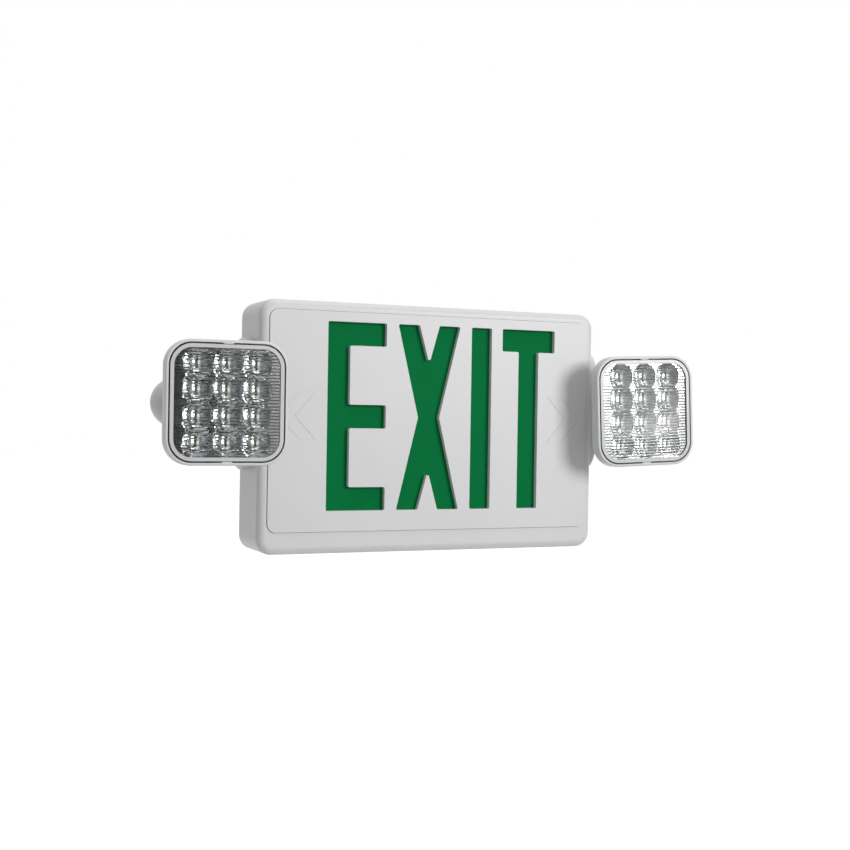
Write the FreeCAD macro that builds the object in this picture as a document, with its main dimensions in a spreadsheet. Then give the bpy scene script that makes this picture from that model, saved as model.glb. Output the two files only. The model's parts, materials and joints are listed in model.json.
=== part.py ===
import FreeCAD, Part

# Emergency exit light, in millimetres. The frame is the wall's: +Y goes into the wall, the face looks
# along -Y, +Z is up, and the origin is the centre of the back plate's wire entry, on the wall.
import math
import os
import re

import Sketcher

SIZES = {
    # cabinet
    "cabinet_width": 302,
    "cabinet_height": 203,
    "cabinet_depth": 54,
    "cabinet_corner": 12.5,
    "front_round": 6,
    "cover_wall": 2.5,
    "fit_gap": 0.3,
    "back_thickness": 2.5,
    "wire_entry_radius": 11.1,
    "box_screw_spacing": 88.9,
    "wall_screw_width": 236,
    "wall_screw_height": 150,
    "wall_screw_radius": 2.4,
    # face plate, green panel and the light tray behind them
    "face_side_margin": 7.5,
    "face_top_margin": 8,
    "face_bottom_margin": 18,
    "face_corner": 7.5,
    "face_thickness": 2.2,
    "face_proud": 1,
    "legend_left_margin": 48.4,
    "legend_right_margin": 31.9,
    "legend_top_margin": 8,
    "legend_bottom_margin": 16.6,
    "letter_x_extra": 5.6,
    "letter_gap": 10.3,
    "letter_stroke": 19,
    "ledge_width": 4,
    "panel_setback": 2.3,
    "panel_thickness": 1.5,
    "panel_margin": 1,
    "stake_radius": 2.4,
    "stake_pin_radius": 1.2,
    "stake_inset": 6,
    "tray_lap": 2,
    "tray_wall": 1.5,
    "tray_depth": 13,
    "strip_length": 240,
    "strip_width": 6,
    "strip_thickness": 1.2,
    "strip_led_size": 3,
    "strip_led_height": 1,
    # driver board and what stands on it
    "board_from_side": 79,
    "board_from_bottom": 43.5,
    "board_width": 92,
    "board_height": 58,
    "board_thickness": 1.6,
    "board_inset": 5,
    "post_height": 8,
    "post_radius": 3.2,
    "screw_radius": 1.4,
    "screw_head_radius": 2.8,
    "screw_head_height": 1.8,
    "core_width": 30,
    "core_height": 24,
    "core_thickness": 17,
    "core_from_middle": 18.4,
    "core_rise": 4,
    "coil_width": 18,
    "coil_height": 33,
    "coil_thickness": 16.6,
    "coil_proud": 1.5,
    "capacitor_radius": 5,
    "capacitor_length": 16,
    "capacitor_round": 0.8,
    "capacitor_from_middle": 18.4,
    "capacitor_rise": 12,
    "connector_from_middle": 36,
    "connector_drop": 18,
    "connector_width": 10,
    "connector_height": 6,
    "connector_thickness": 8,
    # battery
    "battery_from_side": 79,
    "battery_from_bottom": 43.5,
    "cell_radius": 7.2,
    "cell_length": 50,
    "cell_pitch": 14.2,
    "strap_width": 12,
    "strap_thickness": 1.5,
    "hook_width": 14,
    "hook_height": 12,
    "hook_thickness": 1.6,
    "hook_spacing": 120,
    # test button and indicator, on the underside
    "button_from_board": 12,
    "button_back": 26,
    "button_radius": 4,
    "button_proud": 2,
    "button_travel": 1.5,
    "button_flange": 1.8,
    "button_flange_thickness": 1.5,
    "button_length": 8,
    "switch_width": 8,
    "switch_height": 7,
    "plunger_radius": 1.6,
    "plunger_length": 3.5,
    "indicator_spacing": 16,
    "indicator_radius": 2.5,
    "indicator_round": 0.8,
    "indicator_flange": 1,
    "indicator_proud": 1.2,
    # lamp base and arm
    "arm_rise": 18,
    "arm_back": 26,
    "arm_radius": 19.6,
    "arm_reach": 60,
    "base_height": 106,
    "base_width": 40,
    "base_thickness": 9,
    "base_round": 2.5,
    "base_screw_spacing": 72,
    "base_screw_length": 9,
    "spigot_radius": 12,
    "spigot_tail": 6,
    "wire_bore_radius": 4,
    "collar_radius": 16,
    "collar_thickness": 4,
    "collar_gap": 0.1,
    # head
    "pivot_reach": 34.5,
    "pin_radius": 2.5,
    "pin_length": 37.6,
    "pin_gap": 0.5,
    "tongue_height": 15,
    "tongue_width": 16,
    "knuckle_radius": 11.5,
    "slot_gap": 1,
    "slot_outward": 24.8,
    "neck_root_radius": 15,
    "neck_tip_radius": 9,
    "neck_length": 8,
    "head_width": 94.5,
    "head_corner": 20,
    "head_forward": 63,
    "rim_depth": 10,
    "rim_wall": 2.2,
    "rim_round": 1.2,
    "lens_gap": 0.3,
    "lens_wall": 2,
    "lens_round": 2.4,
    "shell_depth": 14,
    "shell_back_width": 60,
    "shell_back_corner": 15,
    "post_spread": 20.0,
    "shell_wall": 2,
    "shell_rim": 3.6,
    "shell_round": 4,
    "reflector_gap": 0.75,
    "reflector_depth": 7.5,
    "cup_pitch_across": 23,
    "cup_pitch_up": 20.1,
    "cup_ridge": 1,
    "cup_floor_width": 6.8,
    "head_board_thickness": 1.6,
    "head_board_margin": 6,
    "head_led_size": 3.4,
    "head_led_height": 1.2,
    "right_head_swing": 2,
    "right_head_roll": 2.5,
}
CUP_COLUMNS = 3
CUP_ROWS = 4
STRIP_LEDS = 9
CELLS = 3
SIDES = {"right": 1, "left": -1}

# planes and edges that several pieces share, as formulas on the sheet
FACE_Y = "(-cabinet_depth)"
FACE_WIDTH = "(cabinet_width - 2 * face_side_margin)"
FACE_HEIGHT = "(cabinet_height - face_top_margin - face_bottom_margin)"
FACE_RISE = "((face_bottom_margin - face_top_margin) / 2)"
INNER_FACE_Y = f"({FACE_Y} + cover_wall)"
FACE_FRONT_Y = f"({FACE_Y} - face_proud)"
FACE_BACK_Y = f"({FACE_FRONT_Y} + face_thickness)"
LEGEND_X = f"(legend_left_margin - {FACE_WIDTH} / 2)"
LEGEND_LOW = f"({FACE_RISE} - {FACE_HEIGHT} / 2 + legend_bottom_margin)"
LEGEND_HEIGHT = f"({FACE_HEIGHT} - legend_bottom_margin - legend_top_margin)"
LEGEND_WIDTH = f"({FACE_WIDTH} - legend_left_margin - legend_right_margin)"
LETTER_WIDTH = f"(({LEGEND_WIDTH} - 3 * letter_gap - letter_stroke - letter_x_extra) / 3)"
PANEL_FRONT_Y = f"({FACE_BACK_Y} + panel_setback)"
PANEL_BACK_Y = f"({PANEL_FRONT_Y} + panel_thickness)"
OPENING_WIDTH = f"({FACE_WIDTH} - 2 * ledge_width)"
OPENING_HEIGHT = f"({FACE_HEIGHT} - 2 * ledge_width)"
TRAY_WIDTH = f"({OPENING_WIDTH} - 2 * tray_lap)"
TRAY_HEIGHT = f"({OPENING_HEIGHT} - 2 * tray_lap)"
PANEL_WIDTH = f"({TRAY_WIDTH} - 2 * panel_margin)"
PANEL_HEIGHT = f"({TRAY_HEIGHT} - 2 * panel_margin)"
INNER_WIDTH = "(cabinet_width - 2 * cover_wall)"
INNER_HEIGHT = "(cabinet_height - 2 * cover_wall)"
BOARD_Y = "(-back_thickness - post_height)"
BOARD_FRONT_Y = f"({BOARD_Y} - board_thickness)"
BOARD_X = "(cabinet_width / 2 - board_from_side)"
BOARD_Z = "(board_from_bottom - cabinet_height / 2)"
BATTERY_X = "(battery_from_side - cabinet_width / 2)"
BATTERY_Z = "(battery_from_bottom - cabinet_height / 2)"
BUTTON_X = f"({BOARD_X} - button_from_board)"
SIDE_X = "(cabinet_width / 2)"
ARM_START = f"({SIDE_X} + base_thickness + fit_gap)"
ARM_Y = "(-arm_back)"
PIVOT_X = f"({SIDE_X} + pivot_reach)"
LENS_FRONT_Y = f"({ARM_Y} - head_forward)"
DISH_Y = f"({LENS_FRONT_Y} + rim_depth)"
SHELL_BACK_Y = f"({DISH_Y} + shell_depth)"
REFLECTOR_Y = f"({LENS_FRONT_Y} + lens_wall + fit_gap)"
HEAD_BOARD_Y = f"({REFLECTOR_Y} + reflector_depth)"
REFLECTOR_INSET = "(rim_wall + lens_gap + lens_wall + reflector_gap)"
REFLECTOR_WIDTH = f"(head_width - 2 * {REFLECTOR_INSET})"
REFLECTOR_CORNER = f"(head_corner - {REFLECTOR_INSET})"

X_AXIS = FreeCAD.Vector(1, 0, 0)
Y_AXIS = FreeCAD.Vector(0, 1, 0)
Z_AXIS = FreeCAD.Vector(0, 0, 1)
# a cylinder stands along its own Z; these turns lay it along +X or +Y
TURNS = {
    "X": FreeCAD.Rotation(Y_AXIS, 90),
    "Y": FreeCAD.Rotation(X_AXIS, -90),
    "Z": FreeCAD.Rotation(),
}

doc = FreeCAD.newDocument("ExitLight")
sheet = doc.addObject("Spreadsheet::Sheet", "Sizes")
for row, (alias, size) in enumerate(SIZES.items(), start=1):
    sheet.set(f"A{row}", str(size))
    sheet.setAlias(f"A{row}", alias)
doc.recompute()

nodes = {}


def on_sheet(formula):
    """A formula in the sheet's aliases, as the document's expressions want it."""
    return re.sub(r"[a-z_]{2,}", lambda word: f"Sizes.{word.group()}", formula)


def bind(item, **formulas):
    """Ties an object's properties to formulas on the sheet; a double underscore stands for a dot."""
    for name, formula in formulas.items():
        item.setExpression(name.replace("__", "."), on_sheet(formula))


def place(item, x, y, z):
    bind(item, Placement__Base__x=x, Placement__Base__y=y, Placement__Base__z=z)


def body(name):
    """A new sub-part, named as its file will be."""
    item = doc.addObject("PartDesign::Body", name)
    item.Label = name
    nodes[name] = item
    return item


def box(owner, mode, size, low):
    """A box with its lowest corner at low; both are three formulas."""
    item = owner.newObject(f"PartDesign::{mode}Box", "Box")
    bind(item, Length=size[0], Width=size[1], Height=size[2])
    place(item, *low)
    return item


def centred_box(owner, mode, size, middle):
    """A box centred on middle across X and Z, and starting there in Y."""
    low = (f"{middle[0]} - ({size[0]}) / 2", middle[1], f"{middle[2]} - ({size[2]}) / 2")
    return box(owner, mode, size, low)


def cylinder(owner, mode, axis, radius, length, start):
    """A cylinder that runs from start along +axis."""
    item = owner.newObject(f"PartDesign::{mode}Cylinder", "Cylinder")
    item.Placement = FreeCAD.Placement(FreeCAD.Vector(), TURNS[axis])
    bind(item, Radius=radius, Height=length)
    place(item, *start)
    return item


def cone(owner, mode, radius_start, radius_end, length, start):
    """A cone along +Y."""
    item = owner.newObject(f"PartDesign::{mode}Cone", "Cone")
    item.Placement = FreeCAD.Placement(FreeCAD.Vector(), TURNS["Y"])
    bind(item, Radius1=radius_start, Radius2=radius_end, Height=length)
    place(item, *start)
    return item


def cup(owner, mouth, floor, depth, middle):
    """A tapered cup along +Y from a mouth, as width and height, to a square floor."""
    item = owner.newObject("PartDesign::SubtractiveWedge", "Cup")
    bind(item, Xmin=f"-({mouth[0]}) / 2", Xmax=f"({mouth[0]}) / 2", Zmin=f"-({mouth[1]}) / 2",
         Zmax=f"({mouth[1]}) / 2", X2min=f"-({floor}) / 2", X2max=f"({floor}) / 2", Z2min=f"-({floor}) / 2",
         Z2max=f"({floor}) / 2", Ymin="0", Ymax=depth)
    place(item, *middle)
    return item


def rounded(owner, radius, wanted):
    """Rounds those edges of the body so far that wanted picks."""
    doc.recompute()
    base = owner.Tip
    names = [f"Edge{i}" for i, edge in enumerate(base.Shape.Edges, start=1) if wanted(edge, base.Shape)]
    item = owner.newObject("PartDesign::Fillet", "Fillet")
    item.Base = (base, names)
    bind(item, Radius=radius)
    return item


def hollowed(owner, wall):
    """Turns the body so far into a shell of one wall, open at its back face."""
    doc.recompute()
    base = owner.Tip
    names = [f"Face{i}" for i, face in enumerate(base.Shape.Faces, start=1) if on_back(face, base.Shape)]
    item = owner.newObject("PartDesign::Thickness", "Thickness")
    item.Base = (base, names)
    item.Reversed = True
    bind(item, Value=wall)
    return item


def on_front(piece, whole):
    """Whether an edge or face has all its corners in the foremost plane."""
    front = min(corner.Y for corner in whole.Vertexes)
    return all(corner.Y - front < 0.01 for corner in piece.Vertexes)


def on_back(piece, whole):
    back = max(corner.Y for corner in whole.Vertexes)
    return all(back - corner.Y < 0.01 for corner in piece.Vertexes)


def corners_of(tool):
    """Picks the edges along Y at the four corners of a box feature."""
    doc.recompute()
    low = tool.Placement.Base
    high = low + FreeCAD.Vector(tool.Length.Value, tool.Width.Value, tool.Height.Value)

    def wanted(edge, whole):
        first, last = edge.Vertexes[0].Point, edge.Vertexes[-1].Point
        step = last - first
        along_y = abs(step.x) < 0.01 and abs(step.z) < 0.01 and abs(step.y) > 0.01
        at_side = min(abs(first.x - low.x), abs(first.x - high.x)) < 0.01
        at_level = min(abs(first.z - low.z), abs(first.z - high.z)) < 0.01
        inside = low.y - 0.01 < min(first.y, last.y) and max(first.y, last.y) < high.y + 0.01
        return along_y and at_side and at_level and inside
    return wanted


def plate(owner, mode, size, middle, corner):
    """A box centred across X and Z with its four corners rounded."""
    item = centred_box(owner, mode, size, middle)
    rounded(owner, corner, corners_of(item))
    return item


def rounded_square(owner, middle, width, corner, inset=None):
    """A sketch across Y: a square with round corners, centred on middle, its sizes bound to the sheet.

    Width, corner and inset are aliases; inset draws the same square that far inside.
    """
    sketch = owner.newObject("Sketcher::SketchObject", "Outline")
    plane = next(item for item in owner.Origin.OriginFeatures if item.Role == "XZ_Plane")
    sketch.AttachmentSupport = [(plane, "")]
    sketch.MapMode = "FlatFace"
    # the plane's own z points along -Y
    bind(sketch, AttachmentOffset__Base__x=middle[0], AttachmentOffset__Base__y=middle[2],
         AttachmentOffset__Base__z=f"-({middle[1]})")
    wall = SIZES[inset] if inset else 0
    half = SIZES[width] / 2 - wall
    radius = SIZES[corner] - wall
    radius_formula = f"({corner} - {inset})" if inset else corner
    flat = half - radius
    for quarter in range(4):
        turn = FreeCAD.Rotation(Z_AXIS, 90 * quarter)
        first = turn.multVec(FreeCAD.Vector(half, -flat, 0))
        last = turn.multVec(FreeCAD.Vector(half, flat, 0))
        sketch.addGeometry(Part.LineSegment(first, last))
        centre = turn.multVec(FreeCAD.Vector(flat, flat, 0))
        circle = Part.Circle(centre, Z_AXIS, radius)
        sketch.addGeometry(Part.ArcOfCircle(circle, math.pi / 2 * quarter, math.pi / 2 * (quarter + 1)))
    # lines are 0, 2, 4, 6 and the arc after each is one higher; 1 is a start point, 2 an end, 3 a centre
    for line in (0, 2, 4, 6):
        arc, following = line + 1, (line + 2) % 8
        sketch.addConstraint(Sketcher.Constraint("Tangent", line, 2, arc, 1))
        sketch.addConstraint(Sketcher.Constraint("Tangent", arc, 2, following, 1))
    for line in (0, 4):
        sketch.addConstraint(Sketcher.Constraint("Vertical", line))
    for line in (2, 6):
        sketch.addConstraint(Sketcher.Constraint("Horizontal", line))
    for arc in (3, 5, 7):
        sketch.addConstraint(Sketcher.Constraint("Equal", 1, arc))
    sketch.addConstraint(Sketcher.Constraint("Symmetric", 1, 3, 5, 3, -1, 1))
    sized = [("Radius", (1, radius), radius_formula),
             ("DistanceX", (5, 3, 1, 3, 2 * flat), f"{width} - 2 * {corner}"),
             ("DistanceY", (5, 3, 1, 3, 2 * flat), f"{width} - 2 * {corner}")]
    for kind, place_and_size, formula in sized:
        number = sketch.addConstraint(Sketcher.Constraint(kind, *place_and_size))
        sketch.setExpression(f"Constraints[{number}]", on_sheet(formula))
    return sketch


def rounded_pocket(owner, size, middle, corner):
    """A pocket with round corners: two crossed boxes and a cylinder at each corner."""
    width, depth, height = size
    centred_box(owner, "Subtractive", (width, depth, f"{height} - 2 * ({corner})"), middle)
    centred_box(owner, "Subtractive", (f"{width} - 2 * ({corner})", depth, height), middle)
    for side in (-1, 1):
        for level in (-1, 1):
            x = f"{middle[0]} + {side} * (({width}) / 2 - ({corner}))"
            z = f"{middle[2]} + {level} * (({height}) / 2 - ({corner}))"
            cylinder(owner, "Subtractive", "Y", corner, depth, (x, middle[1], z))


def front_cover():
    """The moulded housing: a rounded box open at the back, with the seat and opening of the face plate."""
    item = body("front_cover")
    size = ("cabinet_width", "cabinet_depth", "cabinet_height")
    plate(item, "Additive", size, ("0", FACE_Y, "0"), "cabinet_corner")
    rounded(item, "front_round", on_front)
    hollowed(item, "cover_wall")
    seat_depth = f"({FACE_BACK_Y} - {FACE_Y})"
    seat = (f"{FACE_WIDTH} + 2 * fit_gap", seat_depth, f"{FACE_HEIGHT} + 2 * fit_gap")
    rounded_pocket(item, seat, ("0", FACE_Y, FACE_RISE), "face_corner + fit_gap")
    opening = (OPENING_WIDTH, "cover_wall", OPENING_HEIGHT)
    rounded_pocket(item, opening, ("0", FACE_Y, FACE_RISE), "face_corner - ledge_width")
    hole = "spigot_radius + fit_gap"
    cylinder(item, "Subtractive", "X", hole, "cabinet_width", (f"-{SIDE_X}", ARM_Y, "arm_rise"))
    for side in SIDES.values():
        for level in (-1, 1):
            start_x = f"{SIDE_X} - cover_wall" if side > 0 else f"-{SIDE_X}"
            rise = f"arm_rise + {level} * base_screw_spacing / 2"
            start = (start_x, ARM_Y, rise)
            cylinder(item, "Subtractive", "X", "screw_radius + collar_gap", "cover_wall", start)
    floor_z = "-cabinet_height / 2"
    hole = "button_radius + fit_gap"
    cylinder(item, "Subtractive", "Z", hole, "cover_wall", (BUTTON_X, "-button_back", floor_z))
    lens_x = f"{BUTTON_X} + indicator_spacing"
    hole = "indicator_radius + collar_gap"
    cylinder(item, "Subtractive", "Z", hole, "cover_wall", (lens_x, "-button_back", floor_z))


def back_plate():
    """The wall plate inside the cover's back edge, with its fixing holes, board posts and snap hooks."""
    item = body("back_plate")
    size = (f"{INNER_WIDTH} - 2 * fit_gap", "back_thickness", f"{INNER_HEIGHT} - 2 * fit_gap")
    plate(item, "Additive", size, ("0", "-back_thickness", "0"), "cabinet_corner - cover_wall - fit_gap")
    for x, z in board_corners():
        cylinder(item, "Additive", "Y", "post_radius", "post_height", (x, BOARD_Y, z))
        cylinder(item, "Subtractive", "Y", "screw_radius + collar_gap", "post_height", (x, BOARD_Y, z))
    hook_y = "-back_thickness - hook_height"
    for side in SIDES.values():
        for level in (-1, 1):
            middle = f"{side} * ({INNER_WIDTH} / 2 - fit_gap - hook_thickness / 2)"
            rise = f"{level} * hook_spacing / 2"
            size = ("hook_thickness", "hook_height", "hook_width")
            centred_box(item, "Additive", size, (middle, hook_y, rise))
    through = "back_thickness"
    cylinder(item, "Subtractive", "Y", "wire_entry_radius", through, ("0", "-back_thickness", "0"))
    for side in (-1, 1):
        spot = (f"{side} * box_screw_spacing / 2", "-back_thickness", "0")
        cylinder(item, "Subtractive", "Y", "wall_screw_radius", through, spot)
        for level in (-1, 1):
            spot = (f"{side} * wall_screw_width / 2", "-back_thickness", f"{level} * wall_screw_height / 2")
            cylinder(item, "Subtractive", "Y", "wall_screw_radius", through, spot)


def board_corners():
    """The four screw places of the driver board."""
    across = "(board_width / 2 - board_inset)"
    along = "(board_height / 2 - board_inset)"
    return [(f"{BOARD_X} + {i} * {across}", f"{BOARD_Z} + {k} * {along}") for i in (-1, 1) for k in (-1, 1)]


def stake_places():
    """The four places where the face plate's pins hold the green panel."""
    across = f"({PANEL_WIDTH} / 2 - stake_inset)"
    along = f"({PANEL_HEIGHT} / 2 - stake_inset)"
    return [(f"{i} * {across}", f"{FACE_RISE} + {k} * {along}") for i in (-1, 1) for k in (-1, 1)]


def face_plate():
    """The snap-in front panel. Its stakes stand the green panel off its back."""
    item = body("face_plate")
    plate(item, "Additive", (FACE_WIDTH, "face_thickness", FACE_HEIGHT), ("0", FACE_FRONT_Y, FACE_RISE),
          "face_corner")
    for x, z in stake_places():
        cylinder(item, "Additive", "Y", "stake_radius", "panel_setback", (x, FACE_BACK_Y, z))
        pin = "panel_thickness + stake_pin_radius"
        cylinder(item, "Additive", "Y", "stake_pin_radius", pin, (x, PANEL_FRONT_Y, z))
    legend_openings(item)


def legend_openings(item):
    """The four letters of the legend, cut right through the plate as plain bars."""
    arm_rises = ("0", f"({LEGEND_HEIGHT} - letter_stroke) / 2", f"({LEGEND_HEIGHT} - letter_stroke)")
    letter_bar(item, LEGEND_X, "letter_stroke")
    for rise in arm_rises:
        letter_bar(item, LEGEND_X, LETTER_WIDTH, f"{LEGEND_LOW} + {rise}", "letter_stroke")
    left = f"({LEGEND_X} + {LETTER_WIDTH} + letter_gap)"
    right = f"({left} + {LETTER_WIDTH} + letter_x_extra - letter_stroke)"
    for low_x, high_x in ((left, right), (right, left)):
        slanted_bar(item, low_x, high_x)
    left = f"({right} + letter_stroke + letter_gap)"
    letter_bar(item, left, "letter_stroke")
    left = f"({left} + letter_stroke + letter_gap)"
    letter_bar(item, left, LETTER_WIDTH, f"{LEGEND_LOW} + {arm_rises[2]}", "letter_stroke")
    letter_bar(item, f"{left} + ({LETTER_WIDTH} - letter_stroke) / 2", "letter_stroke")


def letter_bar(item, left, width, low=LEGEND_LOW, height=LEGEND_HEIGHT):
    box(item, "Subtractive", (width, "face_thickness", height), (left, FACE_FRONT_Y, low))


def slanted_bar(item, low_left, high_left):
    """A bar from one left edge at the foot of the letters to another at their top: a wedge stood on end."""
    bar = item.newObject("PartDesign::SubtractiveWedge", "Slant")
    bar.Placement = FreeCAD.Placement(FreeCAD.Vector(), FreeCAD.Rotation(X_AXIS, 90))
    bind(bar, Xmin=low_left, Xmax=f"{low_left} + letter_stroke", X2min=high_left,
         X2max=f"{high_left} + letter_stroke", Ymin="0", Ymax=LEGEND_HEIGHT,
         Zmin="0", Zmax="face_thickness", Z2min="0", Z2max="face_thickness")
    place(bar, "0", FACE_BACK_Y, LEGEND_LOW)


def legend_panel():
    """The green diffuser, held on the face plate's stakes."""
    item = body("legend_panel")
    size = (PANEL_WIDTH, "panel_thickness", PANEL_HEIGHT)
    centred_box(item, "Additive", size, ("0", PANEL_FRONT_Y, FACE_RISE))
    hole = "stake_pin_radius + collar_gap"
    for x, z in stake_places():
        cylinder(item, "Subtractive", "Y", hole, "panel_thickness", (x, PANEL_FRONT_Y, z))


def light_tray():
    """The white box behind the green panel, with a flange against the cover's inner face."""
    item = body("light_tray")
    middle = ("0", INNER_FACE_Y, FACE_RISE)
    flange = (FACE_WIDTH, "tray_wall", FACE_HEIGHT)
    plate(item, "Additive", flange, middle, "face_corner")
    outer = (f"{TRAY_WIDTH} + 2 * tray_wall", "tray_depth", f"{TRAY_HEIGHT} + 2 * tray_wall")
    centred_box(item, "Additive", outer, middle)
    centred_box(item, "Subtractive", (TRAY_WIDTH, "tray_depth - tray_wall", TRAY_HEIGHT), middle)


def sign_strip():
    """The light strip on the tray's lower wall, and its row of emitters."""
    floor_z = f"{FACE_RISE} - {TRAY_HEIGHT} / 2"
    strip_y = f"{PANEL_BACK_Y} + (tray_depth - strip_width) / 2 - tray_wall"
    strip = body("sign_led_board")
    size = ("strip_length", "strip_width", "strip_thickness")
    box(strip, "Additive", size, ("-strip_length / 2", strip_y, floor_z))
    for number in range(STRIP_LEDS):
        place_x = f"({number} - {(STRIP_LEDS - 1) / 2}) * strip_length / {STRIP_LEDS} - strip_led_size / 2"
        low = (place_x, f"{strip_y} + (strip_width - strip_led_size) / 2", f"{floor_z} + strip_thickness")
        led(f"sign_led_{number}", ("strip_led_size", "strip_led_size", "strip_led_height"), low)
    grouped("sign_leds", "sign_led_", STRIP_LEDS)


def led(name, size, low):
    """One emitter, as a plain Part box."""
    item = doc.addObject("Part::Box", name)
    bind(item, Length=size[0], Width=size[1], Height=size[2])
    place(item, *low)


def grouped(name, prefix, count):
    """Like pieces that share one node, as separate solids."""
    item = doc.addObject("Part::Compound", name)
    item.Label = name
    item.Links = [doc.getObject(f"{prefix}{number}") for number in range(count)]
    nodes[name] = item


def driver():
    """The charger and driver board, what is soldered to it, and its four screws."""
    board = body("driver_board")
    size = ("board_width", "board_thickness", "board_height")
    centred_box(board, "Additive", size, (BOARD_X, BOARD_FRONT_Y, BOARD_Z))
    for number, (x, z) in enumerate(board_corners()):
        start = (x, BOARD_FRONT_Y, z)
        cylinder(board, "Subtractive", "Y", "screw_radius + collar_gap", "board_thickness", start)
        screw(f"board_screw_{number}", x, z)
    grouped("board_screws", "board_screw_", 4)

    core = body("transformer")
    core_x = f"{BOARD_X} - core_from_middle"
    core_z = f"{BOARD_Z} + core_rise"
    spot = (core_x, f"{BOARD_FRONT_Y} - core_thickness", core_z)
    centred_box(core, "Additive", ("core_width", "core_thickness", "core_height"), spot)
    spot = (core_x, f"{BOARD_FRONT_Y} - core_thickness - coil_proud", core_z)
    centred_box(core, "Additive", ("coil_width", "coil_thickness", "coil_height"), spot)

    capacitor = body("filter_capacitor")
    spot = (f"{BOARD_X} + capacitor_from_middle", f"{BOARD_FRONT_Y} - capacitor_length",
            f"{BOARD_Z} + capacitor_rise")
    cylinder(capacitor, "Additive", "Y", "capacitor_radius", "capacitor_length", spot)
    rounded(capacitor, "capacitor_round", on_front)

    connector = body("battery_connector")
    spot = (f"{BOARD_X} - connector_from_middle", f"{BOARD_FRONT_Y} - connector_thickness",
            f"{BOARD_Z} - connector_drop")
    size = ("connector_width", "connector_thickness", "connector_height")
    centred_box(connector, "Additive", size, spot)


def screw(name, x, z):
    """A pan-head screw through the driver board into its post."""
    shank = doc.addObject("Part::Cylinder", f"{name}_shank")
    head = doc.addObject("Part::Cylinder", f"{name}_head")
    for item in (shank, head):
        item.Placement = FreeCAD.Placement(FreeCAD.Vector(), TURNS["Y"])
    bind(shank, Radius="screw_radius", Height="board_thickness + post_height")
    place(shank, x, BOARD_FRONT_Y, z)
    bind(head, Radius="screw_head_radius", Height="screw_head_height")
    place(head, x, f"{BOARD_FRONT_Y} - screw_head_height", z)
    whole = doc.addObject("Part::MultiFuse", name)
    whole.Shapes = [shank, head]


def battery():
    """The wrapped cells and the strap that holds them to the back plate."""
    pack = body("battery_pack")
    cell_y = "-back_thickness - fit_gap - cell_radius"
    for number in range(CELLS):
        rise = f"{BATTERY_Z} + ({number} - {(CELLS - 1) / 2}) * cell_pitch"
        start = (f"{BATTERY_X} - cell_length / 2", cell_y, rise)
        cylinder(pack, "Additive", "X", "cell_radius", "cell_length", start)
    strap = body("battery_strap")
    reach = "2 * cell_radius + 2 * fit_gap"
    span = f"{CELLS - 1} * cell_pitch + 2 * cell_radius + 2 * fit_gap"
    size = ("strap_width", f"{reach} + strap_thickness", f"{span} + 2 * strap_thickness")
    outside_y = f"-back_thickness - ({reach}) - strap_thickness"
    centred_box(strap, "Additive", size, (BATTERY_X, outside_y, BATTERY_Z))
    size = ("strap_width", reach, span)
    centred_box(strap, "Subtractive", size, (BATTERY_X, f"-back_thickness - ({reach})", BATTERY_Z))


def test_controls():
    """The push-to-test button and the charge indicator on the underside, and the switch above the button."""
    floor_z = "(-cabinet_height / 2)"
    inside_z = f"({floor_z} + cover_wall)"
    spot = (BUTTON_X, "-button_back")
    button = body("test_button")
    start = (*spot, f"{floor_z} - button_proud")
    cylinder(button, "Additive", "Z", "button_radius", "button_length", start)
    start = (*spot, f"{inside_z} + fit_gap")
    cylinder(button, "Additive", "Z", "button_radius + button_flange", "button_flange_thickness", start)

    switch = body("test_switch")
    tip_z = f"({floor_z} - button_proud + button_length + button_travel + fit_gap)"
    low = (f"{BUTTON_X} - switch_width / 2", "-button_back - switch_width / 2", f"{tip_z} + fit_gap")
    reach = f"{BOARD_FRONT_Y} + button_back + switch_width / 2"
    box(switch, "Additive", ("switch_width", reach, "switch_height"), low)
    cylinder(switch, "Additive", "Z", "plunger_radius", "plunger_length", (*spot, tip_z))

    lens = body("indicator_lens")
    spot = (f"{BUTTON_X} + indicator_spacing", "-button_back")
    start = (*spot, f"{floor_z} - indicator_proud")
    length = "cover_wall + indicator_proud + 2 * button_flange"
    cylinder(lens, "Additive", "Z", "indicator_radius", length, start)
    rounded(lens, "indicator_round", lambda edge, whole: edge.BoundBox.ZMax - whole.BoundBox.ZMin < 0.01)
    cylinder(lens, "Additive", "Z", "indicator_radius + indicator_flange", "button_flange", (*spot, inside_z))


def along_x(owner, mode, radius, near, far, side):
    """A cylinder on the arm's axis between two distances from the middle of the cabinet."""
    start = f"({near})" if side > 0 else f"-({far})"
    return cylinder(owner, mode, "X", radius, f"({far}) - ({near})", (start, ARM_Y, "arm_rise"))


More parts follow.
